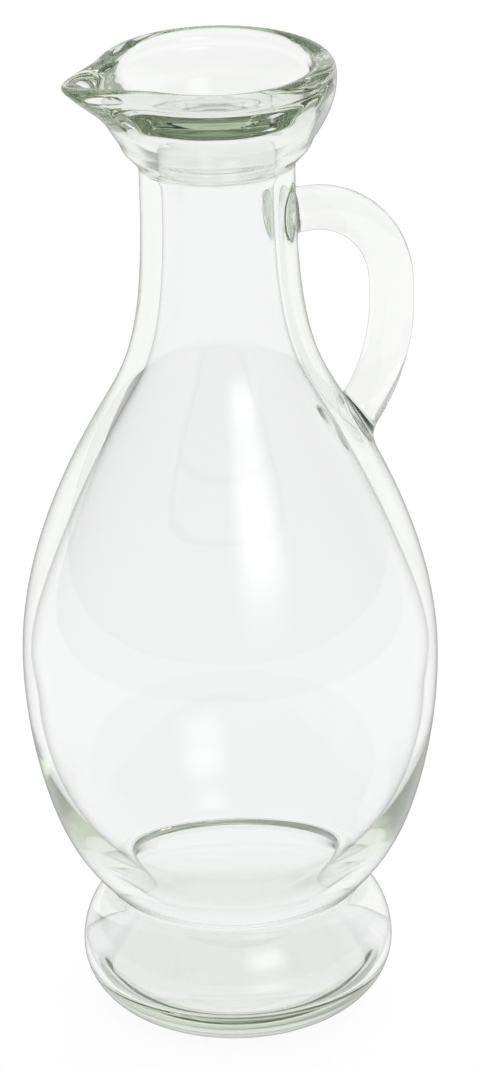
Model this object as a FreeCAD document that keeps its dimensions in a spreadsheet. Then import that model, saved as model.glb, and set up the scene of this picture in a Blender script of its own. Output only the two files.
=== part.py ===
import FreeCAD, Part
import math
import os
import Sketcher

# Handled pouring bottle of clear pressed-and-blown glass, one solid, in millimetres.
# +Z is up, the origin is the middle of the base on the bottle's axis, the handle is on +X
# and the spout opposite, on -X.
#
# Outside: a bun-shaped foot, a sharp waist, an egg-shaped belly that runs up into a slim
# neck, a flared collar drawn out into a pouring beak, and a solid round handle.
# Inside: a cavity with its own curve, so the wall changes from base to shoulder, a straight
# bore and a bowl whose channel leads into the beak.

SIZES = (
    # Foot
    ("bearing_inner", 16.0, "inner radius of the flat ring that the bottle stands on"),
    ("bearing_outer", 20.0, "outer radius of that ring"),
    ("push_up", 3.0, "height of the hollow under the base"),
    ("push_up_flat", 8.0, "radius of that hollow's flat middle"),
    ("heel_run", 7.2, "how far the heel runs out flat before it turns up"),
    ("foot_radius", 34.6, "widest radius of the foot"),
    ("foot_level", 14.1, "height of the foot's widest ring"),
    ("foot_roundness", 7.8, "fullness of the foot below its widest ring"),
    ("foot_shoulder", 6.0, "fullness of the foot above its widest ring"),
    ("crease_run", 4.6, "how far out from the crease the foot's top turns in"),
    ("crease_drop", 3.2, "how far below the crease it turns in"),
    # Waist
    ("waist_radius", 27.2, "radius of the crease between foot and belly"),
    ("waist_level", 28.8, "height of the crease"),
    ("waist_fillet", 1.2, "radius in the crease"),
    # Belly
    ("belly_radius", 45.75, "widest radius of the belly"),
    ("belly_level", 84.0, "height of the belly's widest ring"),
    ("lower_fullness", 13.1, "how long the wall stays upright below the widest ring"),
    ("upper_fullness", 17.2, "how long the wall stays upright above it"),
    # Neck
    ("neck_radius", 16.7, "outer radius of the neck"),
    ("neck_top", 197.5, "height of the neck's top, where the collar starts"),
    ("neck_run", 7.5, "length of the neck's straight part"),
    ("neck_draw", 28.2, "length over which the shoulder eases into the neck"),
    ("bore_radius", 12.0, "radius of the bore"),
    # Collar
    ("step_radius", 20.9, "radius of the collar's lower edge"),
    ("step_rise", 6.5, "height of the undercut below that edge"),
    ("collar_radius", 25.9, "outer radius of the collar"),
    ("flare_rise", 12.5, "height of the flare from lower edge to brim"),
    ("brim_rise", 1.9, "height of the upright brim"),
    ("lip_roundness", 2.6, "radius over the lip"),
    ("lip_flat", 0.4, "width of the lip's flat top"),
    ("bowl_depth", 17.9, "depth of the bowl below the upright brim's top"),
    ("bowl_wall_drop", 5.0, "height of the bowl's upright side"),
    # Spout
    ("spout_reach", 10.3, "how far the beak stands out from the collar"),
    ("channel_reach", 9.9, "how far the channel runs out from the bowl"),
    # Handle
    ("handle_radius", 4.9, "radius of the handle's round section"),
    ("handle_drop", 13.3, "depth of the handle's top run below the neck's top"),
    ("handle_reach", 40.8, "distance of the handle's middle line from the axis"),
    ("handle_bend", 20.4, "radius of the upper bend"),
    ("handle_upright", 3.8, "length of the upright run between the bends"),
    ("handle_sweep", 41.0, "radius of the lower bend"),
    ("handle_fall", 31.0, "height over which the lower bend turns inwards"),
    ("upper_root_fillet", 3.0, "radius where the handle grows out of the neck"),
    ("lower_root_fillet", 4.0, "radius where the handle grows out of the shoulder"),
    # Cavity
    ("base_glass", 5.2, "thickness of the base in the middle"),
    ("floor_flat", 6.0, "radius of the cavity floor's flat middle"),
    ("floor_radius", 20.0, "radius of the cavity's nearly flat floor"),
    ("floor_level", 7.4, "height of that floor's edge"),
    ("floor_run", 8.5, "how far the floor runs out flat before it turns up"),
    ("cavity_foot_level", 15.6, "height of the cavity's widest ring in the foot"),
    ("cavity_foot_rise", 5.0, "fullness of the cavity below and above that ring"),
    ("cavity_waist_level", 29.8, "height of the cavity's narrowest ring"),
    ("cavity_waist_rise", 6.5, "fullness of the cavity below and above that ring"),
    ("cavity_fullness", 12.0, "how long the cavity stays upright above its widest ring"),
    ("foot_wall", 3.2, "wall at the foot's widest ring"),
    ("waist_wall", 3.4, "wall at the waist"),
    ("belly_wall", 2.8, "wall at the belly's widest ring"),
    ("shoulder_wall", 5.2, "wall at the shoulder"),
    ("throat_wall", 5.0, "wall below the neck"),
)

# Points that steer a curve between two rings, from the first ring to the second: (share of
# the way between their radii, share of the way between their heights).
HOLLOW_POINTS = ((0.45, 0.0), (0.70, 0.60))
LOWER_BELLY_POINTS = ((0.341, 0.112), (0.735, 0.307))
LOWER_CAVITY_POINT = (0.790, 0.350)
UPPER_BELLY_POINTS = ((0.418, 0.453), (0.7315, 0.5755))
FLOOR_POINTS = ((0.35, 0.0), (0.65, 1.0))

# The collar and its beak are drawn through level sections. Each section is a closed curve
# steered by points evenly spread round the axis; only the point on -X and its two neighbours
# are pulled out, which gives a nose with hollow flanks that fades into the round.
SECTION_POINTS = 24
ROUND_SHARE = (2 + math.cos(2 * math.pi / SECTION_POINTS)) / 3   # curve radius / point radius
NOSE_PULL = 1.27
FLANK_PULL = 0.46

# Outside, from the neck upwards: (share of the height, share of the spout's reach).
UNDERCUT_STATIONS = (0.14, 0.32, 0.54, 0.78, 1.0)
FLARE_STATIONS = ((0.21, 0.0), (0.42, 0.01), (0.67, 0.16), (0.90, 0.44))
# Over the lip: (angle of the rounding in degrees, share of the spout's reach).
OUTER_LIP_STATIONS = ((0, 0.78), (30, 0.93), (60, 1.0), (90, 0.99))
# Inside, from the throat upwards.
THROAT_SHARE = 0.9   # radius of the bowl's lowest section, inside the bore / bore radius
BOWL_STATIONS = ((0.25, 0.0), (0.50, 0.06), (0.75, 0.20), (1.0, 0.42))
INNER_LIP_STATIONS = ((0, 0.88), (30, 0.98), (60, 1.02), (90, 1.0))

TOLERANCE = 0.01   # millimetres, for telling which ring an edge lies on


class Size:
    """A length that carries its number and the spreadsheet formula that gives it."""

    def __init__(self, value, formula):
        self.value = value
        self.formula = formula

    @staticmethod
    def of(other):
        return other if isinstance(other, Size) else Size(float(other), "%.6f" % other)

    def __add__(self, other):
        other = Size.of(other)
        return Size(self.value + other.value, "(%s + %s)" % (self.formula, other.formula))

    def __sub__(self, other):
        other = Size.of(other)
        return Size(self.value - other.value, "(%s - %s)" % (self.formula, other.formula))

    def __mul__(self, factor):
        return Size(self.value * factor, "(%s * %.6f)" % (self.formula, factor))


class Sizes:
    """The driving dimensions: one spreadsheet row each, read back as attributes."""

    def __init__(self, doc):
        sheet = doc.addObject("Spreadsheet::Sheet", "Sizes")
        for row, (name, value, note) in enumerate(SIZES, start=1):
            sheet.set("A%d" % row, name)
            sheet.set("B%d" % row, str(value))
            sheet.set("C%d" % row, note)
            sheet.setAlias("B%d" % row, name)
            setattr(self, name, Size(value, "Sizes." + name))


ZERO = Size(0.0, "0")


def origin_plane(body, role):
    return next(f for f in body.Origin.OriginFeatures if f.Role == role)


def new_sketch(body, name, role, level=ZERO):
    """A sketch on one of the body's own planes, lifted to a level along its normal."""
    sketch = body.newObject("Sketcher::SketchObject", name)
    sketch.AttachmentSupport = [(origin_plane(body, role), "")]
    sketch.MapMode = "FlatFace"
    sketch.AttachmentOffset = FreeCAD.Placement(
        FreeCAD.Vector(0, 0, level.value), FreeCAD.Rotation())
    if level is not ZERO:
        sketch.setExpression("AttachmentOffset.Base.z", level.formula)
    return sketch


def fix_point(sketch, geometry, position, x, y):
    """Tie a point of a sketch to its coordinates."""
    for kind, aligned, size in (("DistanceX", "Vertical", x), ("DistanceY", "Horizontal", y)):
        if size.value == 0.0:
            sketch.addConstraint(Sketcher.Constraint(aligned, -1, 1, geometry, position))
        else:
            index = sketch.addConstraint(
                Sketcher.Constraint(kind, -1, 1, geometry, position, size.value))
            sketch.setExpression("Constraints[%d]" % index, size.formula)


def add_curve(sketch, points, closed=False):
    """A smooth cubic curve steered by points, each tied to its coordinates."""
    poles = [FreeCAD.Vector(x.value, y.value, 0) for x, y in points]
    curve = sketch.addGeometry(
        Part.BSplineCurve(poles, None, None, closed, 3, None, False), False)
    sketch.exposeInternalGeometry(curve)
    centre = 3
    circles = [c.First for c in sketch.Constraints
               if c.Type == "InternalAlignment" and c.Second == curve and c.FirstPos == centre]
    for circle, (x, y) in zip(circles, points):
        fix_point(sketch, circle, centre, x, y)
    return curve


def add_line(sketch, start, end):
    line = sketch.addGeometry(Part.LineSegment(
        FreeCAD.Vector(start[0].value, start[1].value, 0),
        FreeCAD.Vector(end[0].value, end[1].value, 0)), False)
    fix_point(sketch, line, 1, *start)
    fix_point(sketch, line, 2, *end)
    return line


def add_outline(sketch, runs):
    """A closed outline from runs of points: two points are a line, more are a curve."""
    for run in runs:
        if len(run) == 2:
            add_line(sketch, *run)
        else:
            add_curve(sketch, run)


def revolved(body, kind, name, sketch):
    feature = body.newObject("PartDesign::" + kind, name)
    feature.Profile = sketch
    feature.ReferenceAxis = (sketch, ["V_Axis"])
    feature.Angle = 360
    return feature


def edges_where(shape, test):
    """Names of the edges whose middle passes a test."""
    return ["Edge%d" % number for number, edge in enumerate(shape.Edges, start=1)
            if not edge.Degenerated and test(edge, edge.CenterOfMass)]


def add_fillet(body, name, base, edges, radius):
    fillet = body.newObject("PartDesign::Fillet", name)
    fillet.Base = (base, edges)
    fillet.Radius = radius.value
    fillet.setExpression("Radius", radius.formula)
    return fillet


def between(start, end, shares):
    """A point that lies the given shares of the way from one point to another."""
    across, up = shares
    return (start[0] + (end[0] - start[0]) * across, start[1] + (end[1] - start[1]) * up)


def outer_form(body, s):
    """Foot, belly and neck, turned about the axis."""
    axis_foot = (ZERO, s.push_up)
    hollow_top = (s.push_up_flat, s.push_up)
    ring_inner = (s.bearing_inner, ZERO)
    ring_outer = (s.bearing_outer, ZERO)
    foot_ring = (s.foot_radius, s.foot_level)
    waist = (s.waist_radius, s.waist_level)
    belly_ring = (s.belly_radius, s.belly_level)
    neck_start = (s.neck_radius, s.neck_top - s.neck_run)
    neck_end = (s.neck_radius, s.neck_top)
    axis_top = (ZERO, s.neck_top)
    runs = (
        (axis_foot, hollow_top),
        (hollow_top, *(between(hollow_top, ring_inner, p) for p in HOLLOW_POINTS), ring_inner),
        (ring_inner, ring_outer),
        (ring_outer, (s.bearing_outer + s.heel_run, ZERO),
         (s.foot_radius, s.foot_level - s.foot_roundness), foot_ring),
        (foot_ring, (s.foot_radius, s.foot_level + s.foot_shoulder),
         (s.waist_radius + s.crease_run, s.waist_level - s.crease_drop), waist),
        (waist, *(between(waist, belly_ring, p) for p in LOWER_BELLY_POINTS),
         (s.belly_radius, s.belly_level - s.lower_fullness), belly_ring),
        (belly_ring, (s.belly_radius, s.belly_level + s.upper_fullness),
         *(between(belly_ring, neck_start, p) for p in UPPER_BELLY_POINTS),
         (s.neck_radius, neck_start[1] - s.neck_draw), neck_start),
        (neck_start, neck_end),
        (neck_end, axis_top),
        (axis_top, axis_foot),
    )
    sketch = new_sketch(body, "OuterOutline", "YZ_Plane")
    add_outline(sketch, runs)
    return revolved(body, "Revolution", "OuterForm", sketch)


def round_section(body, name, level, radius):
    sketch = new_sketch(body, name, "XY_Plane", level)
    circle = sketch.addGeometry(
        Part.Circle(FreeCAD.Vector(0, 0, 0), FreeCAD.Vector(0, 0, 1), radius.value), False)
    sketch.addConstraint(Sketcher.Constraint("Coincident", circle, 3, -1, 1))
    index = sketch.addConstraint(Sketcher.Constraint("Radius", circle, radius.value))
    sketch.setExpression("Constraints[%d]" % index, radius.formula)
    return sketch


def beaked_section(body, name, level, radius, reach):
    """A level section of the collar: round, with a nose of the given reach on -X."""
    sketch = new_sketch(body, name, "XY_Plane", level)
    nose = SECTION_POINTS // 2 + 1
    pull = {nose: NOSE_PULL, nose - 1: FLANK_PULL, nose + 1: FLANK_PULL}
    points = []
    for number in range(SECTION_POINTS):
        angle = 2 * math.pi * (number - 1) / SECTION_POINTS
        away = radius * (1 / ROUND_SHARE) + reach * pull.get(number, 0.0)
        points.append((away * round(math.cos(angle), 6), away * round(math.sin(angle), 6)))
    add_curve(sketch, points, closed=True)
    return sketch


def lofted(body, kind, name, sections):
    loft = body.newObject("PartDesign::" + kind, name)
    loft.Profile = sections[0]
    loft.Sections = sections[1:]
    loft.Ruled = False
    return loft


def collar(body, s):
    """The flared collar with its beak, from the neck's top over the rounded lip."""
    step_level = s.neck_top + s.step_rise
    brim_level = step_level + s.flare_rise
    lip_level = brim_level + s.brim_rise
    stations = []
    for share in UNDERCUT_STATIONS:
        eased = share * share * (3 - 2 * share)
        stations.append((s.neck_top + s.step_rise * share,
                         s.neck_radius + (s.step_radius - s.neck_radius) * eased, ZERO))
    for share, out in FLARE_STATIONS:
        eased = math.sin(share * math.pi / 2)
        stations.append((step_level + s.flare_rise * share,
                         s.step_radius + (s.collar_radius - s.step_radius) * eased,
                         s.spout_reach * out))
    for degrees, out in OUTER_LIP_STATIONS:
        turn = math.radians(degrees)
        stations.append((lip_level + s.lip_roundness * math.sin(turn),
                         s.collar_radius - s.lip_roundness * (1 - math.cos(turn)),
                         s.spout_reach * out))
    sections = [round_section(body, "CollarFoot", s.neck_top, s.neck_radius)]
    for number, station in enumerate(stations, start=1):
        sections.append(beaked_section(body, "Collar%02d" % number, *station))
    return lofted(body, "AdditiveLoft", "Collar", sections)


def handle(body, s):
    """A round rod that leaves the neck level, bends down and runs into the shoulder."""
    level = s.neck_top - s.handle_drop
    bend_x = s.handle_reach - s.handle_bend
    bend_y = level - s.handle_bend
    sweep_x = s.handle_reach - s.handle_sweep
    elbow = bend_y - s.handle_upright
    turn = math.asin(s.handle_fall.value / s.handle_sweep.value)
    V = FreeCAD.Vector
    path = new_sketch(body, "HandlePath", "XZ_Plane")
    top_run = path.addGeometry(
        Part.LineSegment(V(0, level.value, 0), V(bend_x.value, level.value, 0)), False)
    upper = path.addGeometry(Part.ArcOfCircle(
        Part.Circle(V(bend_x.value, bend_y.value, 0), V(0, 0, 1), s.handle_bend.value),
        0, math.pi / 2), False)
    upright = path.addGeometry(
        Part.LineSegment(V(s.handle_reach.value, bend_y.value, 0),
                         V(s.handle_reach.value, elbow.value, 0)), False)
    lower = path.addGeometry(Part.ArcOfCircle(
        Part.Circle(V(sweep_x.value, elbow.value, 0), V(0, 0, 1), s.handle_sweep.value),
        -turn, 0), False)
    fix_point(path, top_run, 1, ZERO, level)
    path.addConstraint(Sketcher.Constraint("Horizontal", top_run))
    path.addConstraint(Sketcher.Constraint("Tangent", top_run, 2, upper, 2))
    path.addConstraint(Sketcher.Constraint("Tangent", upper, 1, upright, 1))
    path.addConstraint(Sketcher.Constraint("Tangent", upright, 2, lower, 2))
    path.addConstraint(Sketcher.Constraint("Vertical", upright))
    for kind, geometry, position, size in (
            ("Radius", upper, 0, s.handle_bend), ("Radius", lower, 0, s.handle_sweep)):
        index = path.addConstraint(Sketcher.Constraint(kind, geometry, size.value))
        path.setExpression("Constraints[%d]" % index, size.formula)
    fix_point(path, upright, 2, s.handle_reach, elbow)
    root_level = elbow - s.handle_fall
    index = path.addConstraint(
        Sketcher.Constraint("DistanceY", -1, 1, lower, 1, root_level.value))
    path.setExpression("Constraints[%d]" % index, root_level.formula)

    profile = new_sketch(body, "HandleSection", "YZ_Plane")
    rod = profile.addGeometry(
        Part.Circle(V(0, level.value, 0), V(0, 0, 1), s.handle_radius.value), False)
    fix_point(profile, rod, 3, ZERO, level)
    index = profile.addConstraint(Sketcher.Constraint("Radius", rod, s.handle_radius.value))
    profile.setExpression("Constraints[%d]" % index, s.handle_radius.formula)

    pipe = body.newObject("PartDesign::AdditivePipe", "Handle")
    pipe.Profile = profile
    pipe.Spine = (path, [])
    pipe.Transition = "Transformed"
    return pipe


def cavity(body, s):
    """The blown inside, from the floor up through the bore."""
    middle = (ZERO, s.push_up + s.base_glass)
    floor_top = (s.floor_flat, s.push_up + s.base_glass)
    floor_edge = (s.floor_radius, s.floor_level)
    foot_ring = (s.foot_radius - s.foot_wall, s.cavity_foot_level)
    waist = (s.waist_radius - s.waist_wall, s.cavity_waist_level)
    belly_ring = (s.belly_radius - s.belly_wall, s.belly_level)
    bore_start = (s.bore_radius, s.neck_top - s.neck_run)
    bore_end = (s.bore_radius, s.neck_top + s.step_rise)
    axis_top = (ZERO, s.neck_top + s.step_rise)
    outer_ring = (s.belly_radius, s.belly_level)
    neck_start = (s.neck_radius, s.neck_top - s.neck_run)
    shoulder, throat = (between(outer_ring, neck_start, p) for p in UPPER_BELLY_POINTS)
    runs = (
        (middle, floor_top),
        (floor_top, *(between(floor_top, floor_edge, p) for p in FLOOR_POINTS), floor_edge),
        (floor_edge, (s.floor_radius + s.floor_run, s.floor_level),
         (foot_ring[0], s.cavity_foot_level - s.cavity_foot_rise), foot_ring),
        (foot_ring, (foot_ring[0], s.cavity_foot_level + s.cavity_foot_rise),
         (waist[0], s.cavity_waist_level - s.cavity_waist_rise), waist),
        (waist, (waist[0], s.cavity_waist_level + s.cavity_waist_rise),
         between(waist, belly_ring, LOWER_CAVITY_POINT),
         (belly_ring[0], s.belly_level - s.lower_fullness), belly_ring),
        (belly_ring, (belly_ring[0], s.belly_level + s.cavity_fullness),
         (shoulder[0] - s.shoulder_wall, shoulder[1]),
         (throat[0] - s.throat_wall, throat[1]),
         (s.bore_radius, bore_start[1] - s.neck_draw), bore_start),
        (bore_start, bore_end),
        (bore_end, axis_top),
        (axis_top, middle),
    )
    sketch = new_sketch(body, "CavityOutline", "YZ_Plane")
    add_outline(sketch, runs)
    return revolved(body, "Groove", "Cavity", sketch)


def bowl(body, s):
    """The bowl inside the collar, with the channel that runs out into the beak."""
    lip_level = s.neck_top + s.step_rise + s.flare_rise + s.brim_rise
    throat_level = lip_level - s.bowl_depth
    wall_level = lip_level - s.bowl_wall_drop
    bowl_radius = s.collar_radius - s.lip_roundness * 2 - s.lip_flat
    stations = []
    for share, out in BOWL_STATIONS:
        eased = math.sin(share * math.pi / 2)
        stations.append((throat_level + (wall_level - throat_level) * share,
                         s.bore_radius + (bowl_radius - s.bore_radius) * eased,
                         s.channel_reach * out))
    for degrees, out in INNER_LIP_STATIONS:
        turn = math.radians(degrees)
        stations.append((lip_level + s.lip_roundness * math.sin(turn),
                         bowl_radius + s.lip_roundness * (1 - math.cos(turn)),
                         s.channel_reach * out))
    sections = [round_section(
        body, "Throat", throat_level - s.lip_roundness, s.bore_radius * THROAT_SHARE)]
    for number, station in enumerate(stations, start=1):
        sections.append(beaked_section(body, "Bowl%02d" % number, *station))
    return lofted(body, "SubtractiveLoft", "Bowl", sections)


def check(doc):
    """Stop if any object failed or any shape is empty or broken."""
    for item in doc.Objects:
        if {"Invalid", "Error"} & set(item.State):
            raise RuntimeError("%s did not build: %s" % (item.Name, item.State))
        shape = getattr(item, "Shape", None)
        if shape is not None and item.isDerivedFrom("PartDesign::Feature"):
            if shape.isNull() or not shape.isValid():
                raise RuntimeError("%s has no valid shape" % item.Name)


def root_edges(shape, s, level_test):
    """The edges in which the handle meets the turned form, picked by their height."""
    return edges_where(shape, lambda edge, middle:
                       middle.x > s.bore_radius.value
                       and abs(middle.y) < s.handle_radius.value
                       and level_test(middle.z)
                       and edge.Curve.TypeId == "Part::GeomBSplineCurve")


def build():
    doc = FreeCAD.newDocument("PouringBottle")
    sizes = Sizes(doc)
    doc.recompute()
    body = doc.addObject("PartDesign::Body", "Bottle")
    body.Label = "bottle"
    form = outer_form(body, sizes)
    doc.recompute()
    waist_level = sizes.waist_level.value
    waist = edges_where(form.Shape, lambda edge, middle:
                        abs(middle.z - waist_level) < TOLERANCE and edge.isClosed())
    add_fillet(body, "WaistFillet", form, waist, sizes.waist_fillet)
    doc.recompute()
    collar(body, sizes)
    doc.recompute()
    rod = handle(body, sizes)
    doc.recompute()
    neck_top = sizes.neck_top.value
    elbow = neck_top - (sizes.handle_drop + sizes.handle_bend + sizes.handle_upright).value
    upper = root_edges(rod.Shape, sizes, lambda level: elbow < level < neck_top)
    blended = add_fillet(body, "UpperRoot", rod, upper, sizes.upper_root_fillet)
    doc.recompute()
    lower = root_edges(blended.Shape, sizes, lambda level: level < elbow)
    add_fillet(body, "LowerRoot", blended, lower, sizes.lower_root_fillet)
    doc.recompute()
    cavity(body, sizes)
    doc.recompute()
    bowl(body, sizes)
    doc.recompute()
    check(doc)
    return body


def main():
    body = build()
    shape = body.Shape
    print("%s: %d solid, %.1f cm3, box %s" % (
        body.Label, len(shape.Solids), shape.Volume / 1000, shape.BoundBox))
    os.makedirs("parts", exist_ok=True)
    shape.exportStep("parts/%s.step" % body.Label)


main()
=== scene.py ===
"""A clear glass pouring bottle with a beak and a handle, standing on a pale table.

The bottle is one skin of glass. Its outside, lip and inside are turned from one outline, the
beak is drawn out of the collar, and the handle is a bent rod that grows out of neck and
shoulder. Lengths are written in millimetres and become metres where a mesh is made.
"""

import logging
import math
from dataclasses import dataclass
from enum import Enum

import bmesh
import bpy
from mathutils import Matrix, Vector


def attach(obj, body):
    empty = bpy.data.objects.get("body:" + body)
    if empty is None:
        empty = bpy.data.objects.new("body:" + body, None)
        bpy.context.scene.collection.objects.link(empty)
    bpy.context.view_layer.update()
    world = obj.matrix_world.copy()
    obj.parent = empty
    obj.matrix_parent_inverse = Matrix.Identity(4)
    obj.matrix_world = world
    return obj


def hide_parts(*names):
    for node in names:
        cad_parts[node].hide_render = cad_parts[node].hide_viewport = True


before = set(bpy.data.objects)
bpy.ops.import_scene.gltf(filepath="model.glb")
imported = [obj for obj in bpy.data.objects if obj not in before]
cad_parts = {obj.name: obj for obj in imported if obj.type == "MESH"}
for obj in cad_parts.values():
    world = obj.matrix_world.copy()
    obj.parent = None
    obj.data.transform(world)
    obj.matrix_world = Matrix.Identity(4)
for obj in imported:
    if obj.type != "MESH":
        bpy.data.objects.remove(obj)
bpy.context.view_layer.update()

LOG = logging.getLogger("pouring_bottle")
MM = 0.001
CURVE_STEPS = 40    # points drawn between two knots of an outline
MERGE = 0.02        # points nearer to each other than this become one
NEAR_RING = 0.1     # a point this near to a ring belongs to it
NEAR_WALL = 0.2     # a point this near to the outside's radius lies on the outside
LIGHT_BOUNCES = 32  # light turns back and forth many times in thick glass before it leaves

Ring = tuple[float, float, float]  # radius, how far the beak is drawn out there, height


def to_linear(hex_colour: str) -> tuple[float, float, float, float]:
    """Turn an sRGB hex colour into the linear colour that the shaders take.

    Args:
        hex_colour: Six hex digits after a hash sign.

    Returns:
        Linear red, green and blue, and an alpha of one.
    """
    channels = []
    for start in (1, 3, 5):
        value = int(hex_colour[start:start + 2], 16) / 255
        channels.append(
            value / 12.92 if value <= 0.04045 else ((value + 0.055) / 1.055) ** 2.4)
    return (*channels, 1.0)


def add_node(
    tree: bpy.types.NodeTree, kind: str, inputs: dict | None = None, **settings
) -> bpy.types.Node:
    """Add a node with its settings, its socket values and the links that feed it.

    Args:
        tree: The node tree that gets the node.
        kind: Blender's name of the node type.
        inputs: A value, or an output socket to link, for each input name or number.
        **settings: Properties of the node itself.

    Returns:
        The new node.
    """
    node = tree.nodes.new(kind)
    for name, value in settings.items():
        setattr(node, name, value)
    for key, value in (inputs or {}).items():
        if isinstance(value, bpy.types.NodeSocket):
            tree.links.new(value, node.inputs[key])
        else:
            node.inputs[key].default_value = value
    return node


def only(item: bpy.types.Object) -> None:
    """Make one object active and the only one selected."""
    bpy.ops.object.select_all(action="DESELECT")
    item.select_set(True)
    bpy.context.view_layer.objects.active = item


def apply_modifier(item: bpy.types.Object, name: str, kind: str, **settings) -> None:
    """Add a modifier to an object, set it and apply it.

    Args:
        item: The object that it shapes.
        name: Name of the modifier.
        kind: Blender's name of the modifier type.
        **settings: Properties of the modifier.
    """
    only(item)
    modifier = item.modifiers.new(name, kind)
    for key, value in settings.items():
        setattr(modifier, key, value)
    bpy.ops.object.modifier_apply(modifier=name)


class Course(Enum):
    """How a run of the outline takes its points."""

    STEERED = "NURBS"   # the points pull a smooth curve towards them
    THROUGH = "BEZIER"  # a smooth curve passes through every point
    STRAIGHT = "POLY"   # straight lines join the points


@dataclass(frozen=True)
class Run:
    """One stretch of the outline."""

    course: Course
    points: tuple[Ring, ...]
    spacing: float

    def rings(self) -> list[Ring]:
        """Draw the stretch as a curve and walk along it in even steps.

        Returns:
            Its rings, from the first point to the last.
        """
        drawing = bpy.data.curves.new("outline_run", "CURVE")
        drawing.dimensions = "3D"
        spline = drawing.splines.new(self.course.value)
        if self.course is Course.THROUGH:
            spline.bezier_points.add(len(self.points) - 1)
            for knot, point in zip(spline.bezier_points, self.points):
                knot.co = point
                knot.handle_left_type = knot.handle_right_type = "AUTO"
        else:
            spline.points.add(len(self.points) - 1)
            for knot, point in zip(spline.points, self.points):
                knot.co = (*point, 1.0)
            spline.order_u = 4
            spline.use_endpoint_u = True
        spline.resolution_u = CURVE_STEPS
        item = bpy.data.objects.new("outline_run", drawing)
        bpy.context.collection.objects.link(item)
        only(item)
        bpy.ops.object.convert(target="MESH")
        dense = [vertex.co.copy() for vertex in item.data.vertices]
        bpy.data.objects.remove(item)
        return walk(dense, self.spacing)


def walk(line: list[Vector], spacing: float) -> list[Ring]:
    """Place points along a line in even steps.

    Args:
        line: The line's points.
        spacing: About how far apart the new points lie.

    Returns:
        The new points, the line's two ends among them.
    """
    ends = [0.0]
    for first, second in zip(line, line[1:]):
        ends.append(ends[-1] + (second - first).length)
    steps = max(1, round(ends[-1] / spacing))
    rings, piece = [], 0
    for step in range(steps + 1):
        place = ends[-1] * step / steps
        while piece < len(line) - 2 and ends[piece + 1] < place:
            piece += 1
        share = (place - ends[piece]) / max(ends[piece + 1] - ends[piece], 1e-9)
        rings.append(tuple(line[piece].lerp(line[piece + 1], min(share, 1.0))))
    return rings


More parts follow.
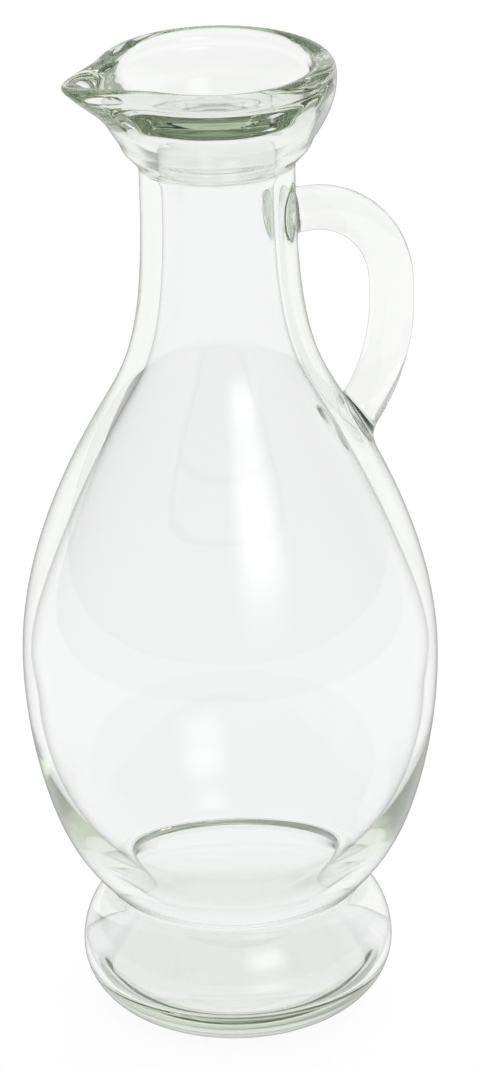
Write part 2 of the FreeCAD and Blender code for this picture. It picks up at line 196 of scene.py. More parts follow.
@dataclass
class Collar:
    """The flared collar, its beak and the bowl inside it."""

    neck_radius: float = 16.7
    neck_top: float = 197.5
    step_radius: float = 20.9
    step_rise: float = 6.5
    radius: float = 25.9
    flare_rise: float = 12.5
    brim_rise: float = 1.9
    lip_roundness: float = 2.6
    lip_flat: float = 0.4
    bore_radius: float = 12.0
    bowl_depth: float = 10.0
    bowl_wall_drop: float = 0.8
    bore_edge_drop: float = 1.1
    beak_reach: float = 10.3
    channel_reach: float = 9.9
    # Width of the beak: the turn between two points that steer a level section, and how far
    # the point in the middle and those beside it are drawn out.
    steer_turn: float = 15.0
    nose_pull: float = 1.27
    flank_pull: float = 0.46

    @property
    def lip_level(self) -> float:
        """Height at which the brim starts to round over."""
        return self.neck_top + self.step_rise + self.flare_rise + self.brim_rise

    @property
    def bowl_radius(self) -> float:
        """Radius of the bowl's upright side."""
        return self.radius - 2 * self.lip_roundness - self.lip_flat

    def outside(self) -> tuple[Ring, ...]:
        """Rings of the outside, from the neck's top to the crown of the lip."""
        step_level = self.neck_top + self.step_rise
        rings = [(self.neck_radius, 0.0, self.neck_top)]
        for share in (0.14, 0.32, 0.54, 0.78, 1.0):
            eased = share * share * (3 - 2 * share)
            rings.append((self.neck_radius + (self.step_radius - self.neck_radius) * eased,
                          0.0, self.neck_top + self.step_rise * share))
        for share, out in ((0.21, 0.0), (0.42, 0.01), (0.67, 0.16), (0.90, 0.44)):
            eased = math.sin(share * math.pi / 2)
            rings.append((self.step_radius + (self.radius - self.step_radius) * eased,
                          self.beak_reach * out, step_level + self.flare_rise * share))
        for degrees, out in ((0, 0.78), (30, 0.93), (60, 1.0), (90, 0.99)):
            turn = math.radians(degrees)
            rings.append((self.radius - self.lip_roundness * (1 - math.cos(turn)),
                          self.beak_reach * out,
                          self.lip_level + self.lip_roundness * math.sin(turn)))
        return tuple(rings)

    def inside(self) -> tuple[Ring, ...]:
        """Rings of the inside, from the crown of the lip to the top of the bore."""
        throat_level = self.lip_level - self.bowl_depth
        wall_level = self.lip_level - self.bowl_wall_drop
        rings = [(self.bore_radius, 0.0, throat_level - self.bore_edge_drop)]
        for share, across, out in ((0.25, 0.13, 0.02), (0.50, 0.46, 0.14),
                                   (0.75, 0.82, 0.40), (1.0, 1.0, 0.75)):
            rings.append((self.bore_radius + (self.bowl_radius - self.bore_radius) * across,
                          self.channel_reach * out,
                          throat_level + (wall_level - throat_level) * share))
        for degrees, out in ((0, 0.88), (30, 0.98), (60, 1.02), (90, 1.0)):
            turn = math.radians(degrees)
            rings.append((self.bowl_radius + self.lip_roundness * (1 - math.cos(turn)),
                          self.channel_reach * out,
                          self.lip_level + self.lip_roundness * math.sin(turn)))
        return tuple(reversed(rings))

    def draw_beak(self, item: bpy.types.Object, rings: list[Ring]) -> None:
        """Draw the collar of a turned bottle out into its beak, on -X.

        Args:
            item: The turned bottle.
            rings: The outline that it was turned from.
        """
        drawn = [ring for ring in rings if ring[1] > 1e-4]
        shifts = []
        for vertex in item.data.vertices:
            radius, level = math.hypot(vertex.co.x, vertex.co.y) / MM, vertex.co.z / MM
            ring = min(drawn, key=lambda r: abs(r[0] - radius) + abs(r[2] - level))
            if abs(ring[0] - radius) + abs(ring[2] - level) > NEAR_RING:
                continue
            turn = math.degrees(math.atan2(vertex.co.y, -vertex.co.x)) / self.steer_turn
            side = math.radians(self.steer_turn)
            left, right = blend_weight(turn - 1), blend_weight(turn + 1)
            out = (self.nose_pull * blend_weight(turn)
                   + self.flank_pull * math.cos(side) * (left + right))
            apart = self.flank_pull * math.sin(side) * (left - right)
            shifts.append((vertex.index, ring[1] * out, ring[1] * apart))
        for name, axis, column, sign in (
                ("beak_out", "X", 1, -1), ("flank_left", "Y", 2, 1), ("flank_right", "Y", 2, -1)):
            group = item.vertex_groups.new(name=name)
            reach = max(abs(shift[column]) for shift in shifts)
            for shift in shifts:
                amount = shift[column] if column == 1 else sign * shift[column]
                if amount > 0:
                    group.add([shift[0]], amount / reach, "REPLACE")
            apply_modifier(item, name, "DISPLACE", direction=axis, mid_level=0.0,
                           vertex_group=name, strength=sign * reach * MM)
            item.vertex_groups.remove(item.vertex_groups[name])


def blend_weight(distance: float) -> float:
    """Say how strongly a steering point pulls the curve at a distance counted in points.

    Args:
        distance: Distance along the curve, one being the gap between two points.

    Returns:
        The share of the point's own shift that the curve takes.
    """
    away = abs(distance)
    if away < 1:
        return 2 / 3 - away ** 2 + away ** 3 / 2
    return (2 - away) ** 3 / 6 if away < 2 else 0.0


@dataclass
class Body:
    """Foot, belly and neck, outside and inside."""

    collar: Collar
    bearing_inner: float = 17.0
    bearing_outer: float = 20.0
    push_up: float = 0.6
    push_up_flat: float = 6.0
    heel_run: float = 7.2
    foot_radius: float = 34.6
    foot_level: float = 14.1
    foot_roundness: float = 7.8
    foot_shoulder: float = 6.0
    crease_run: float = 4.6
    crease_drop: float = 3.2
    waist_radius: float = 27.2
    waist_level: float = 28.8
    belly_radius: float = 45.75
    belly_level: float = 84.0
    lower_fullness: float = 13.1
    upper_fullness: float = 17.2
    neck_run: float = 7.5
    neck_draw: float = 28.2
    base_glass: float = 8.2
    floor_flat: float = 6.0
    floor_radius: float = 29.3
    floor_level: float = 9.0
    floor_run: float = 2.0
    cavity_foot_level: float = 14.2
    cavity_foot_rise: float = 3.2
    cavity_waist_level: float = 28.8
    cavity_waist_rise: float = 4.0
    cavity_fullness: float = 12.0
    foot_wall: float = 2.7
    waist_wall: float = 2.2
    belly_wall: float = 2.8
    shoulder_wall: float = 5.2
    throat_wall: float = 5.0
    segments: int = 80

    @property
    def neck_start(self) -> Ring:
        """Ring at which the neck becomes straight."""
        return (self.collar.neck_radius, 0.0, self.collar.neck_top - self.neck_run)

    def upper_points(self) -> tuple[Ring, Ring]:
        """The two points that steer the shoulder and the throat."""
        belly = (self.belly_radius, 0.0, self.belly_level)
        return (between(belly, self.neck_start, 0.418, 0.453),
                between(belly, self.neck_start, 0.7315, 0.5755))

    def outside(self) -> list[Run]:
        """Runs of the outside, from the middle of the base to the collar."""
        hollow = (self.push_up_flat, 0.0, self.push_up)
        inner, outer = (self.bearing_inner, 0.0, 0.0), (self.bearing_outer, 0.0, 0.0)
        foot = (self.foot_radius, 0.0, self.foot_level)
        waist = (self.waist_radius, 0.0, self.waist_level)
        belly = (self.belly_radius, 0.0, self.belly_level)
        neck, top = self.neck_start, (self.neck_start[0], 0.0, self.collar.neck_top)
        return [
            Run(Course.STRAIGHT, ((0.0, 0.0, self.push_up), hollow), 4.0),
            Run(Course.STEERED, (hollow, between(hollow, inner, 0.45, 0.0),
                                 between(hollow, inner, 0.70, 0.60), inner), 1.6),
            Run(Course.STRAIGHT, (inner, outer), 1.4),
            Run(Course.STEERED, (outer, (self.bearing_outer + self.heel_run, 0.0, 0.0),
                                 (foot[0], 0.0, foot[2] - self.foot_roundness), foot), 1.5),
            Run(Course.STEERED, (foot, (foot[0], 0.0, foot[2] + self.foot_shoulder),
                                 (waist[0] + self.crease_run, 0.0,
                                  waist[2] - self.crease_drop), waist), 1.4),
            Run(Course.STEERED, (waist, between(waist, belly, 0.341, 0.112),
                                 between(waist, belly, 0.735, 0.307),
                                 (belly[0], 0.0, belly[2] - self.lower_fullness), belly), 1.9),
            Run(Course.STEERED, (belly, (belly[0], 0.0, belly[2] + self.upper_fullness),
                                 *self.upper_points(),
                                 (neck[0], 0.0, neck[2] - self.neck_draw), neck), 1.9),
            Run(Course.STRAIGHT, (neck, top), 1.9),
        ]

    def inside(self) -> list[Run]:
        """Runs of the inside, from the top of the bore to the middle of the floor."""
        bore = self.collar.bore_radius
        bore_start = (bore, 0.0, self.neck_start[2])
        shoulder, throat = self.upper_points()
        belly = (self.belly_radius - self.belly_wall, 0.0, self.belly_level)
        waist = (self.waist_radius - self.waist_wall, 0.0, self.cavity_waist_level)
        foot = (self.foot_radius - self.foot_wall, 0.0, self.cavity_foot_level)
        edge = (self.floor_radius, 0.0, self.floor_level)
        floor_top = (self.floor_flat, 0.0, self.push_up + self.base_glass)
        bore_end = self.collar.inside()[-1]
        return [
            Run(Course.STRAIGHT, (bore_end, bore_start), 2.4),
            Run(Course.STEERED, (bore_start, (bore, 0.0, bore_start[2] - self.neck_draw),
                                 (throat[0] - self.throat_wall, 0.0, throat[2]),
                                 (shoulder[0] - self.shoulder_wall, 0.0, shoulder[2]),
                                 (belly[0], 0.0, belly[2] + self.cavity_fullness), belly), 2.4),
            Run(Course.STEERED, (belly, (belly[0], 0.0, belly[2] - self.lower_fullness),
                                 between(waist, belly, 0.790, 0.350),
                                 (waist[0], 0.0, waist[2] + self.cavity_waist_rise), waist), 2.4),
            Run(Course.STEERED, (waist, (waist[0], 0.0, waist[2] - self.cavity_waist_rise),
                                 (foot[0], 0.0, foot[2] + self.cavity_foot_rise), foot), 1.6),
            Run(Course.STEERED, (foot, (foot[0], 0.0, foot[2] - self.cavity_foot_rise),
                                 (edge[0] + self.floor_run, 0.0, edge[2]), edge), 1.6),
            Run(Course.STEERED, (edge, between(floor_top, edge, 0.65, 1.0),
                                 between(floor_top, edge, 0.35, 0.0), floor_top), 2.4),
            Run(Course.STRAIGHT, (floor_top, (0.0, 0.0, floor_top[2])), 3.0),
        ]

    def outline(self) -> list[Ring]:
        """Draw the whole outline, up the outside, over the lip and down the inside.

        Returns:
            Its rings in order, each one once.
        """
        runs = [*self.outside(),
                Run(Course.THROUGH, self.collar.outside(), 1.0),
                Run(Course.THROUGH, (self.collar.outside()[-1], self.collar.inside()[0]), 0.5),
                Run(Course.THROUGH, self.collar.inside(), 1.1),
                *self.inside()]
        rings = []
        for run in runs:
            rings.extend(run.rings() if not rings else run.rings()[1:])
        return rings

    def turn(self, rings: list[Ring]) -> bpy.types.Object:
        """Spin an outline about the upright axis into a closed skin.

        Args:
            rings: The outline, from axis to axis.

        Returns:
            The turned bottle, with no beak and no handle yet.
        """
        drawing = bpy.data.curves.new("bottle_skin", "CURVE")
        drawing.dimensions = "3D"
        spline = drawing.splines.new("POLY")
        spline.points.add(len(rings) - 1)
        # A smoothed ring shrinks a little, so each starts that much larger.
        spread = MM / math.cos(math.pi / self.segments)
        for knot, (radius, _, level) in zip(spline.points, rings):
            knot.co = (radius * spread, 0.0, level * MM, 1.0)
        item = bpy.data.objects.new("bottle_skin", drawing)
        bpy.context.collection.objects.link(item)
        only(item)
        bpy.ops.object.convert(target="MESH")
        bpy.ops.object.mode_set(mode="EDIT")
        bpy.ops.mesh.select_all(action="SELECT")
        bpy.ops.mesh.spin(steps=self.segments, angle=2 * math.pi, center=(0, 0, 0),
                          axis=(0, 0, 1))
        bpy.ops.mesh.select_all(action="SELECT")
        bpy.ops.mesh.remove_doubles(threshold=MERGE * MM)
        bpy.ops.object.mode_set(mode="OBJECT")
        return item


def between(start: Ring, end: Ring, across: float, up: float) -> Ring:
    """Find the point that lies given shares of the way from one ring to another.

    Args:
        start: The first ring.
        end: The second ring.
        across: Share of the way between their radii.
        up: Share of the way between their heights.

    Returns:
        The point as a ring with no beak.
    """
    return (start[0] + (end[0] - start[0]) * across, 0.0,
            start[2] + (end[2] - start[2]) * up)


@dataclass(frozen=True)
class Root:
    """A round mouth in the body out of which one end of the handle grows."""

    level: float    # height at which the rod's middle line meets the body
    flare: float    # radius of the mouth
    reach: int      # faces from the mouth's middle to its edge, before it is made round


class OuterWall:
    """The turned outside above the widest ring, unrolled: run along the outline by height."""

    def __init__(self, rings: list[Ring], low: float, high: float) -> None:
        """Take the rings of the outside that lie between two heights.

        Args:
            rings: The whole outline, whose outside comes first and rises.
            low: Lowest height taken.
            high: Highest height taken.
        """
        crown = max(range(len(rings)), key=lambda index: rings[index][2])
        self.rings = [ring for ring in rings[:crown] if low <= ring[2] <= high]
        self.runs = [0.0]
        for first, second in zip(self.rings, self.rings[1:]):
            self.runs.append(self.runs[-1] + math.hypot(second[0] - first[0],
                                                        second[2] - first[2]))

    def nearest(self, level: float) -> int:
        """Number of the ring nearest to a height."""
        return min(range(len(self.rings)), key=lambda i: abs(self.rings[i][2] - level))

    def run_at(self, level: float) -> float:
        """Run along the outline at a height."""
        place = next(i for i, ring in enumerate(self.rings) if ring[2] >= level)
        first, second = self.rings[place - 1], self.rings[place]
        share = (level - first[2]) / (second[2] - first[2])
        return self.runs[place - 1] + share * (self.runs[place] - self.runs[place - 1])

    def at(self, run: float) -> tuple[float, float]:
        """Radius and height at a run along the outline."""
        place = next(i for i, value in enumerate(self.runs) if value >= run)
        share = (run - self.runs[place - 1]) / (self.runs[place] - self.runs[place - 1])
        first, second = self.rings[place - 1], self.rings[place]
        return (first[0] + (second[0] - first[0]) * share,
                first[2] + (second[2] - first[2]) * share)


@dataclass
class Handle:
    """The bent rod and the two mouths that it grows out of."""

    radius: float = 4.9
    level: float = 184.2
    reach: float = 40.8
    bend: float = 20.4
    upright: float = 3.8
    sweep: float = 41.0
    sweep_turn: float = 32.5
    segments: int = 32
    step: float = 2.0
    upper_root: Root = Root(184.2, 7.9, 4)
    lower_root: Root = Root(133.8, 8.9, 4)
    ease: float = 2.4        # mouths fade into the turned grid over this many half-widths
    fillet_cuts: int = 4

    def open_mouth(self, item: bpy.types.Object, wall: OuterWall, root: Root,
                   segments: int) -> None:
        """Cut a square of faces out of the body on +X and make its edge round.

        Args:
            item: The turned bottle.
            wall: The outside of that bottle.
            root: The mouth to open.
            segments: Number of faces round the body.
        """
        middle = wall.nearest(root.level)
        half_turn = 2 * math.pi / segments * root.reach
        low, high = wall.runs[middle - root.reach], wall.runs[middle + root.reach]
        centre, half_run = (low + high) / 2, (high - low) / 2
        home = wall.run_at(root.level)
        inside, mesh = [], item.data
        for vertex in mesh.vertices:
            level, radius = vertex.co.z / MM, math.hypot(vertex.co.x, vertex.co.y) / MM
            if not wall.rings[0][2] < level < wall.rings[-1][2]:
                continue
            run = wall.run_at(level)
            if abs(wall.at(run)[0] - radius) > NEAR_WALL:
                continue
            turn = math.atan2(vertex.co.y, vertex.co.x)
            across, up = turn / half_turn, (run - centre) / half_run
            away = max(abs(across), abs(up))
            if away < 0.99:
                inside.append(vertex.index)
            elif away < self.ease:
                share = (self.ease - away) / (self.ease - 1)
                share = share * share * (3 - 2 * share)
                scale = root.flare * away / math.hypot(across, up)
                new_across = turn * radius * (1 - share) + across * scale * share
                new_run = (run - home) * (1 - share) + up * scale * share
                new_radius, new_level = wall.at(home + new_run)
                angle = new_across / new_radius
                spread = radius / wall.at(run)[0]
                vertex.co = Vector((new_radius * spread * math.cos(angle),
                                    new_radius * spread * math.sin(angle), new_level)) * MM
        only(item)
        bpy.ops.object.mode_set(mode="EDIT")
        bpy.ops.mesh.select_all(action="DESELECT")
        grid = bmesh.from_edit_mesh(mesh)
        grid.verts.ensure_lookup_table()
        for index in inside:
            grid.verts[index].select = True
        grid.select_flush(True)
        bmesh.update_edit_mesh(mesh)
        bpy.ops.mesh.delete(type="VERT")
        bpy.ops.object.mode_set(mode="OBJECT")

    def rod(self) -> bpy.types.Object:
        """Sweep the round rod from its upper bend to its lower root.

        Returns:
            The rod, open at both ends.
        """
        start = self.reach - self.bend
        bpy.ops.mesh.primitive_circle_add(
            vertices=self.segments, radius=self.radius / math.cos(math.pi / self.segments) * MM,
            fill_type="NOTHING", location=(start * MM, 0, self.level * MM),
            rotation=(0, math.pi / 2, 0))
        item = bpy.context.object
        item.name = "handle_rod"
        only(item)
        bpy.ops.object.transform_apply(location=True, rotation=True, scale=True)
        bend_level = self.level - self.bend
        elbow = bend_level - self.upright
        bpy.ops.object.mode_set(mode="EDIT")
        bpy.ops.mesh.select_all(action="SELECT")
        self.bend_end(start, bend_level, self.bend, math.pi / 2)
        for _ in range(2):
            bpy.ops.mesh.extrude_region_move(
                TRANSFORM_OT_translate={"value": (0, 0, -self.upright / 2 * MM)})
        self.bend_end(self.reach - self.sweep, elbow, self.sweep, math.radians(self.sweep_turn))
        bpy.ops.object.mode_set(mode="OBJECT")
        return item

    def bend_end(self, x: float, z: float, radius: float, turn: float) -> None:
        """Carry the selected end of the rod round a bend, downwards.

        Args:
            x: Distance of the bend's centre from the bottle's axis.
            z: Height of that centre.
            radius: Radius of the rod's middle line in the bend.
            turn: How far it turns, in radians.
        """
        bpy.ops.mesh.spin(steps=round(radius * turn / self.step), angle=-turn,
                          center=(x * MM, 0, z * MM), axis=(0, 1, 0))

    def grow(self, item: bpy.types.Object, wall: OuterWall, segments: int) -> None:
        """Open both mouths in the body and blend the rod into them.

        Args:
            item: The turned bottle.
            wall: The outside of that bottle.
            segments: Number of faces round the body.
        """
        for root in (self.upper_root, self.lower_root):
            self.open_mouth(item, wall, root, segments)
        rod = self.rod()
        bpy.ops.object.select_all(action="DESELECT")
        rod.select_set(True)
        item.select_set(True)
        bpy.context.view_layer.objects.active = item
        bpy.ops.object.join()
        middle = (self.upper_root.level + self.lower_root.level) / 2
        for above in (True, False):
            bpy.ops.object.mode_set(mode="EDIT")
            bpy.ops.mesh.select_mode(type="EDGE")
            bpy.ops.mesh.select_all(action="DESELECT")
            grid = bmesh.from_edit_mesh(item.data)
            for edge in grid.edges:
                level = (edge.verts[0].co.z + edge.verts[1].co.z) / 2 / MM
                edge.select = edge.is_boundary and (level > middle) == above
            bmesh.update_edit_mesh(item.data)
            bpy.ops.mesh.bridge_edge_loops(number_cuts=self.fillet_cuts,
                                           interpolation="SURFACE", smoothness=1.0)
            bpy.ops.object.mode_set(mode="OBJECT")


@dataclass(frozen=True)
class SodaLimeGlass:
    """Pressed-and-blown soda-lime glass with the faint green of its iron.

    It is clear and hard-edged, thick places such as lip and foot turn green, and the skin keeps
    a slow waviness from the mould. The outline of such glass mirrors the dark parts of a room.
    The studio's room has few, so painted shade stands for them: a painted tone that deepens as
    the skin turns away, and a painted grey line at the very outline.
    """

    tint: str = "#DFE7D7"
    clear: str = "#FBFBFC"        # what one wall lets through
    painted_edge_shade: str = "#2A302A"    # painted shade: what it lets through where it is seen edge-on, for a mirrored dark room
    painted_edge_fade: tuple[float, float] = (0.66, 1.0)  # how far the skin turns away as the painted shade greys it
    painted_rim_shade: str = "#7A7F7A"     # the painted grey line at the very outline
    painted_rim_share: float = 0.55       # how much of the skin's own look that painted line covers
    painted_rim_fade: tuple[float, float] = (0.80, 0.98)  # how far the skin turns away under it
    ior: float = 1.52
    roughness: float = 0.0
    absorption: float = 20.0      # per metre, times what the tint leaves out
    wave_size: float = 26.0       # millimetres from crest to crest
    wave_depth: float = 0.02      # millimetres

    def material(self) -> bpy.types.Material:
        """Build the glass.

        Returns:
            The material.
        """
        glass = bpy.data.materials.new("soda_lime_glass")
        glass.use_nodes = True
        tree = glass.node_tree
        tree.nodes.clear()
        place = add_node(tree, "ShaderNodeTexCoord")
        waves = add_node(tree, "ShaderNodeTexNoise",
                         {"Vector": place.outputs["Object"],
                          "Scale": 1 / (self.wave_size * MM), "Detail": 1.0,
                          "Roughness": 0.4})
        skin = add_node(tree, "ShaderNodeBump",
                        {"Height": waves.outputs["Fac"], "Strength": 1.0,
                         "Distance": self.wave_depth * MM})
        # How far the skin turns away from the eye: a painted shade greys the wall towards its
        # edges, in place of the dark room that the outline would mirror.
        turned = add_node(tree, "ShaderNodeLayerWeight",
                          {"Blend": 0.5, "Normal": skin.outputs["Normal"]})
        edge = add_node(tree, "ShaderNodeMapRange",
                        {"Value": turned.outputs["Facing"], "From Min": self.painted_edge_fade[0],
                         "From Max": self.painted_edge_fade[1]}, interpolation_type="SMOOTHSTEP")
        # Painted shade: the glass's colour darkens towards its outline.
        painted_edge_colour = add_node(tree, "ShaderNodeMix",
                          {"Factor": edge.outputs["Result"], "A": to_linear(self.clear),
                           "B": to_linear(self.painted_edge_shade)}, data_type="RGBA")
        surface = add_node(tree, "ShaderNodeBsdfPrincipled",
                           {"Base Color": painted_edge_colour.outputs["Result"], "Roughness": self.roughness,
                            "IOR": self.ior, "Transmission Weight": 1.0,
                            "Normal": skin.outputs["Normal"]})
        body = add_node(tree, "ShaderNodeVolumeAbsorption",
                        {"Color": to_linear(self.tint), "Density": self.absorption})
        # A painted grey line at the very outline, in place of a mirrored dark room.
        painted_rim_mask = add_node(tree, "ShaderNodeMapRange",
                       {"Value": turned.outputs["Facing"], "From Min": self.painted_rim_fade[0],
                        "From Max": self.painted_rim_fade[1], "To Max": self.painted_rim_share},
                       interpolation_type="SMOOTHSTEP")
        # Painted shade: a grey see-through skin that draws the outline's dark line.
        line = add_node(tree, "ShaderNodeBsdfTransparent", {"Color": to_linear(self.painted_rim_shade)})
        glass_with_painted_rim = add_node(tree, "ShaderNodeMixShader",
                            {0: painted_rim_mask.outputs["Result"], 1: surface.outputs[0],
                             2: line.outputs[0]})
        add_node(tree, "ShaderNodeOutputMaterial",
                 {"Surface": glass_with_painted_rim.outputs[0], "Volume": body.outputs[0]})
        return glass


@dataclass
class Bottle:
    """The whole bottle: body, collar and handle in one skin of glass."""

    collar: Collar
    body: Body
    handle: Handle
    glass: SodaLimeGlass

    def build(self) -> bpy.types.Object:
        """Model the bottle and dress it.

        Returns:
            The finished piece.
        """
        rings = self.body.outline()
        LOG.info("outline of %d rings", len(rings))
        item = self.body.turn(rings)
        self.collar.draw_beak(item, rings)
        wall = OuterWall(rings, self.body.belly_level, self.collar.neck_top)
        self.handle.grow(item, wall, self.body.segments)
        only(item)
        bpy.ops.object.mode_set(mode="EDIT")
        bpy.ops.mesh.select_all(action="SELECT")
        bpy.ops.mesh.normals_make_consistent(inside=False)
        bpy.ops.object.mode_set(mode="OBJECT")
        apply_modifier(item, "soften", "SUBSURF", levels=1, render_levels=1)
        bpy.ops.object.shade_smooth()
        item.name = "glass_bottle"
        item.data.materials.append(self.glass.material())
        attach(item, "root")
        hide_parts("bottle")
        LOG.info("glass bottle: %d faces", len(item.data.polygons))
        return item


def direction(azimuth: float, elevation: float) -> Vector:
    """Turn two angles into a direction.

    Args:
        azimuth: Angle in the table's plane, in degrees from -Y towards +X.
        elevation: Angle above the table, in degrees.

    Returns:
        The direction, one long.
    """
    turn, rise = math.radians(azimuth), math.radians(elevation)
    return Vector((math.sin(turn) * math.cos(rise), -math.cos(turn) * math.cos(rise),
                   math.sin(rise)))


@dataclass(frozen=True)
class WhiteLaminate:
    """White matt laminate of the table's top.

    It looks plain white, straight on or through the glass, and keeps the bottle's soft shadow.
    To all other light it is a dull white board.
    """

    glow: float = 0.9    # strength of its own white, of which 1 is full white
    shaded: float = 0.2  # how much of the light that falls on it is added to that
    dull: float = 0.8    # how much light it sends back into the room

    def material(self) -> bpy.types.Material:
        """Build the laminate.

        Returns:
            The material.
        """
        white = bpy.data.materials.new("white_laminate")
        white.use_nodes = True
        tree = white.node_tree
        tree.nodes.clear()
        path = add_node(tree, "ShaderNodeLightPath")
        mirrored = add_node(tree, "ShaderNodeMath",
                            {0: path.outputs["Is Camera Ray"],
                             1: path.outputs["Is Glossy Ray"]}, operation="MAXIMUM")
        seen = add_node(tree, "ShaderNodeMath",
                        {0: mirrored.outputs[0], 1: path.outputs["Is Transmission Ray"]},
                        operation="MAXIMUM")
        board = add_node(tree, "ShaderNodeBsdfDiffuse", {"Color": (*[self.shaded] * 3, 1)})
        glow = add_node(tree, "ShaderNodeEmission",
                        {"Color": (1, 1, 1, 1), "Strength": self.glow})
        dull = add_node(tree, "ShaderNodeBsdfDiffuse", {"Color": (*[self.dull] * 3, 1)})
        white_board = add_node(tree, "ShaderNodeAddShader",
                               {0: board.outputs[0], 1: glow.outputs[0]})
        mix = add_node(tree, "ShaderNodeMixShader",
                       {0: seen.outputs[0], 1: dull.outputs[0], 2: white_board.outputs[0]})
        add_node(tree, "ShaderNodeOutputMaterial", {"Surface": mix.outputs[0]})
        return white


@dataclass(frozen=True)
class Softbox:
    """A rectangular lamp behind white cloth, brightest in its middle."""

    name: str
    azimuth: float             # degrees from -Y towards +X, seen from the bottle
    elevation: float           # degrees above the table
    distance: float            # metres
    size: tuple[float, float]  # width and height in metres
    power: float               # watts
    fade: tuple[float, float] = (0.4, 0.4)  # share of width and height over which it fades
    aim_level: float = 0.11    # metres above the table

    def hang(self) -> None:
        """Make the lamp and turn it to the bottle."""
        light = bpy.data.lights.new(self.name, "AREA")
        light.shape = "RECTANGLE"
        light.size, light.size_y = self.size
        light.energy = self.power
        self.cover(light)
        lamp = bpy.data.objects.new(self.name, light)
        bpy.context.collection.objects.link(lamp)
        away = direction(self.azimuth, self.elevation)
        lamp.location = Vector((0, 0, self.aim_level)) + away * self.distance
        lamp.rotation_euler = away.to_track_quat("Z", "Y").to_euler()

    def cover(self, light: bpy.types.AreaLight) -> None:
        """Hang the cloth before a lamp, so that it fades towards its edges.

        Args:
            light: The lamp's light.
        """
        light.use_nodes = True
        tree = light.node_tree
        tree.nodes.clear()
        cloth = add_node(tree, "ShaderNodeNewGeometry")
        place = add_node(tree, "ShaderNodeSeparateXYZ", {0: cloth.outputs["Parametric"]})
        fades = []
        for side, soft in zip(("X", "Y"), self.fade):
            centred = add_node(tree, "ShaderNodeMath", {0: place.outputs[side], 1: 0.5},
                               operation="SUBTRACT")
            away = add_node(tree, "ShaderNodeMath", {0: centred.outputs[0]},
                            operation="ABSOLUTE")
            fades.append(add_node(tree, "ShaderNodeMapRange",
                                  {"Value": away.outputs[0], "From Min": 0.5,
                                   "From Max": 0.5 - soft},
                                  interpolation_type="SMOOTHSTEP"))
        level = add_node(tree, "ShaderNodeMath",
                         {0: fades[0].outputs["Result"], 1: fades[1].outputs["Result"]},
                         operation="MULTIPLY")
        glow = add_node(tree, "ShaderNodeEmission",
                        {"Color": (1, 1, 1, 1), "Strength": level.outputs[0]})
        add_node(tree, "ShaderNodeOutputLight", {"Surface": glow.outputs[0]})


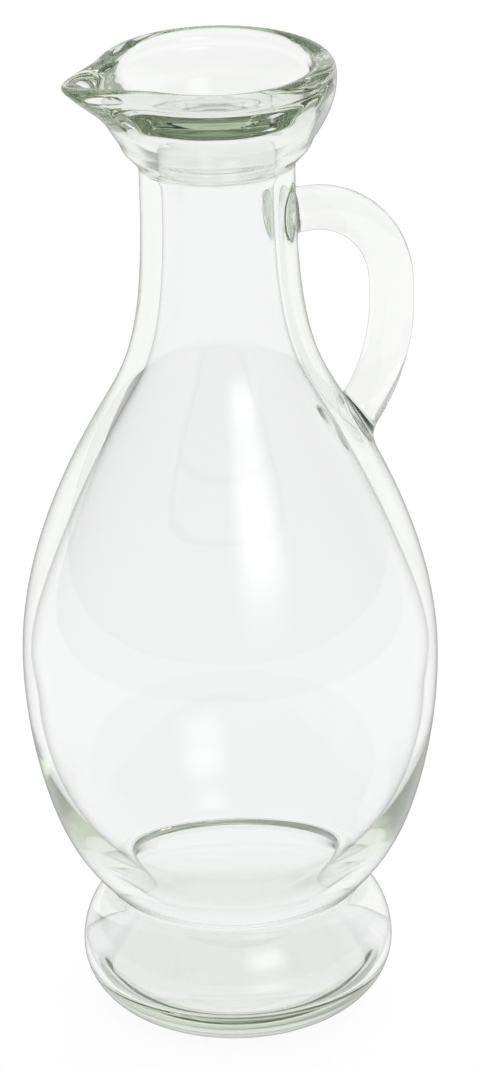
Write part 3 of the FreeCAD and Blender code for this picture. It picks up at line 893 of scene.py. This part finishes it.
@dataclass
class Studio:
    """A pale table, one soft lamp and a room with a bright wall behind the bottle."""

    laminate: WhiteLaminate
    lamp: Softbox
    table_size: float = 8.0       # metres
    wall_azimuth: float = 140.0   # the bright wall's middle, in degrees from -Y towards +X
    wall_elevation: float = 20.0
    wall_fade: tuple[float, float] = (0.35, 0.9)  # cosine of the angle from its middle
    wall_level: float = 1.0
    room_level: float = 0.44

    def build(self) -> None:
        """Make the table, the room and the lamp."""
        bpy.ops.mesh.primitive_plane_add(size=self.table_size)
        table = bpy.context.object
        table.name = "pale_table"
        table.data.materials.append(self.laminate.material())
        self.room()
        self.lamp.hang()

    def room(self) -> None:
        """Light the room evenly, with a bright wall far behind, and keep it white to the eye."""
        world = bpy.data.worlds.new("studio_room")
        bpy.context.scene.world = world
        world.use_nodes = True
        tree = world.node_tree
        tree.nodes.clear()
        path = add_node(tree, "ShaderNodeLightPath")
        place = add_node(tree, "ShaderNodeTexCoord")
        towards = add_node(tree, "ShaderNodeVectorMath",
                           {0: place.outputs["Generated"],
                            1: direction(self.wall_azimuth, self.wall_elevation)},
                           operation="DOT_PRODUCT")
        level = add_node(tree, "ShaderNodeMapRange",
                         {"Value": towards.outputs["Value"], "From Min": self.wall_fade[0],
                          "From Max": self.wall_fade[1], "To Min": self.room_level,
                          "To Max": self.wall_level}, interpolation_type="SMOOTHSTEP")
        lit = add_node(tree, "ShaderNodeBackground",
                       {"Color": (1, 1, 1, 1), "Strength": level.outputs["Result"]})
        white = add_node(tree, "ShaderNodeBackground", {"Color": (1, 1, 1, 1)})
        mix = add_node(tree, "ShaderNodeMixShader",
                       {0: path.outputs["Is Camera Ray"], 1: lit.outputs[0],
                        2: white.outputs[0]})
        add_node(tree, "ShaderNodeOutputWorld", {"Surface": mix.outputs[0]})


@dataclass
class Viewpoint:
    """The camera: a long lens that looks down on the bottle from the left of its handle."""

    azimuth: float = -24.0    # degrees from -Y towards +X
    elevation: float = 23.212
    distance: float = 1.3     # metres
    roll: float = -1.5325
    lens: float = 200.08      # focal length on a frame that is 36 mm high
    aim_right: float = 2.7225
    aim_level: float = 111.7244

    def build(self) -> None:
        """Place the camera and make it the scene's own."""
        turn, rise = math.radians(self.azimuth), math.radians(self.elevation)
        right = Vector((math.cos(turn), math.sin(turn), 0))
        back = Vector((math.sin(turn) * math.cos(rise), -math.cos(turn) * math.cos(rise),
                       math.sin(rise)))
        up = back.cross(right)
        aim = right * self.aim_right * MM + Vector((0, 0, self.aim_level * MM))
        roll = math.radians(self.roll)
        across = right * math.cos(roll) + up * math.sin(roll)
        upward = up * math.cos(roll) - right * math.sin(roll)
        lens = bpy.data.cameras.new("long_lens")
        lens.sensor_fit = "VERTICAL"
        lens.sensor_height = 36.0
        lens.lens = self.lens
        lens.clip_start, lens.clip_end = 0.05, 50.0
        camera = bpy.data.objects.new("long_lens", lens)
        bpy.context.collection.objects.link(camera)
        place = aim + back * self.distance
        camera.matrix_world = Matrix((
            (across.x, upward.x, back.x, place.x), (across.y, upward.y, back.y, place.y),
            (across.z, upward.z, back.z, place.z), (0, 0, 0, 1)))
        bpy.context.scene.camera = camera


def main() -> None:
    """Build the bottle, the studio and the camera."""
    logging.basicConfig(level=logging.INFO, format="%(name)s: %(message)s")
    collar = Collar()
    Bottle(collar, Body(collar), Handle(), SodaLimeGlass()).build()
    lamp = Softbox("front_softbox", azimuth=-1.0, elevation=28.0, distance=1.6,
                   size=(1.2, 1.05), power=7.5)
    Studio(WhiteLaminate(), lamp).build()
    Viewpoint().build()
    bpy.context.scene.view_settings.view_transform = "Standard"
    paths = bpy.context.scene.cycles
    paths.max_bounces = paths.transmission_bounces = paths.glossy_bounces = LIGHT_BOUNCES


if __name__ == "__main__":
    main()
